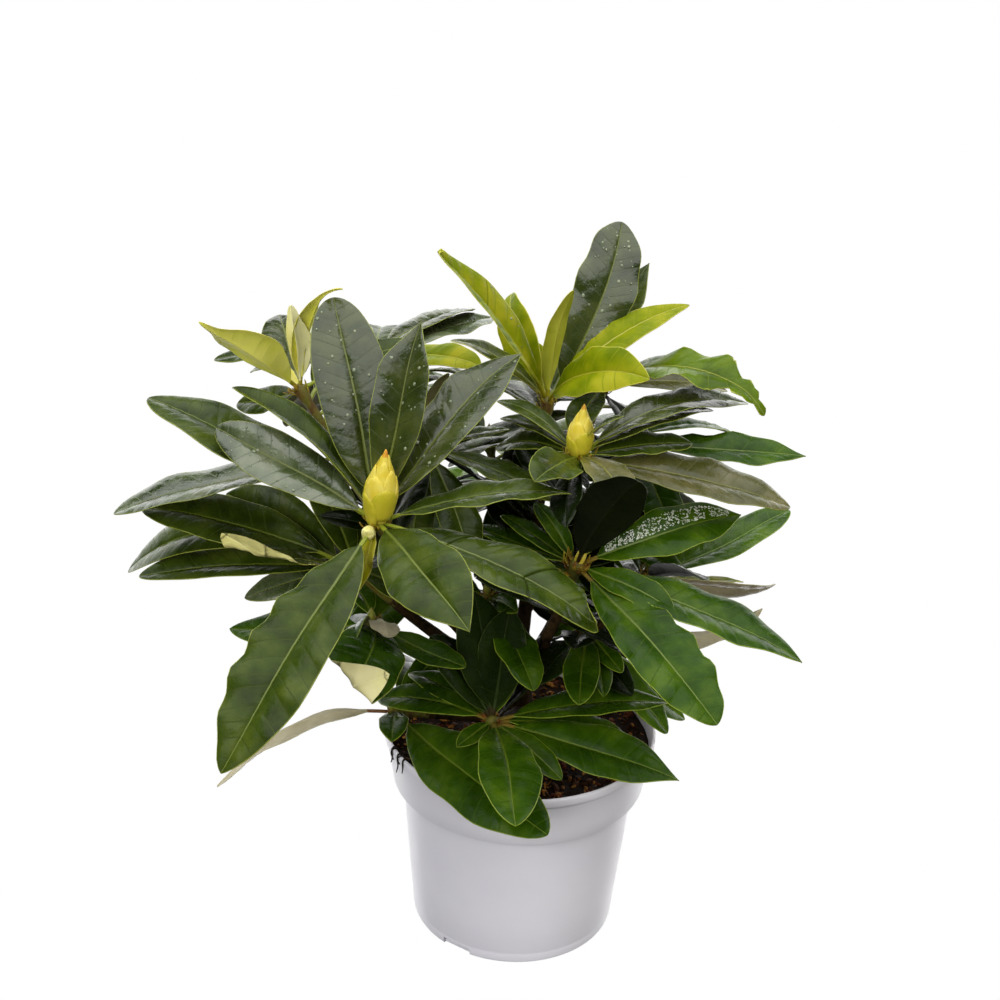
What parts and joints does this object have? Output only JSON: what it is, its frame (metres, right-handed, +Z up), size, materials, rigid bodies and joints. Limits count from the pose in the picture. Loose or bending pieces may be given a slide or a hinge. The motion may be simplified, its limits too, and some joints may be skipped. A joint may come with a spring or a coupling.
{
  "type": "potted rhododendron",
  "caption": "Young evergreen rhododendron with whorls of leathery leaves and plump buds on a short branched trunk, in a round tapered plastic nursery pot.",
  "frame": {"origin": "middle of the pot's flat underside", "axes": "+Z up, out of the pot's mouth; -Y towards the plant's front; +X to the right seen from the front"},
  "size_m": [0.471, 0.4141, 0.4788],
  "materials": {
    "pot": "satin light grey moulded plastic",
    "soil": "coarse dark peat and bark",
    "bark": "dull rough bark",
    "leaf": "leathery satin leaf"
  },
  "bodies": {
    "root": {"pot": "pot", "soil": "soil", "trunk": "bark", "bough_front_left": "bark", "bough_left_high": "bark", "bough_left": "bark", "bough_back_left": "bark", "bough_middle": "bark", "bough_top": "bark", "bough_upper_right": "bark", "bough_right_top": "bark", "bough_right_high": "bark", "bough_right": "bark", "bough_right_low": "bark", "bough_heart_right": "bark", "bough_front_low": "bark", "bough_front_low_left": "bark", "bough_left_low": "bark", "bough_heart": "bark", "bough_back": "bark", "bough_back_right": "bark", "bough_back_low": "bark", "foliage_front_left": "leaf", "foliage_left_high": "leaf", "foliage_left": "leaf", "foliage_back_left": "leaf", "foliage_middle": "leaf", "foliage_top": "leaf", "foliage_upper_right": "leaf", "foliage_right_top": "leaf", "foliage_right_high": "leaf", "foliage_right": "leaf", "foliage_right_low": "leaf", "foliage_heart_right": "leaf", "foliage_front_low": "leaf", "foliage_front_low_left": "leaf", "foliage_left_low": "leaf", "foliage_heart": "leaf", "foliage_back": "leaf", "foliage_back_right": "leaf", "foliage_back_low": "leaf"}
  },
  "joints": []
}
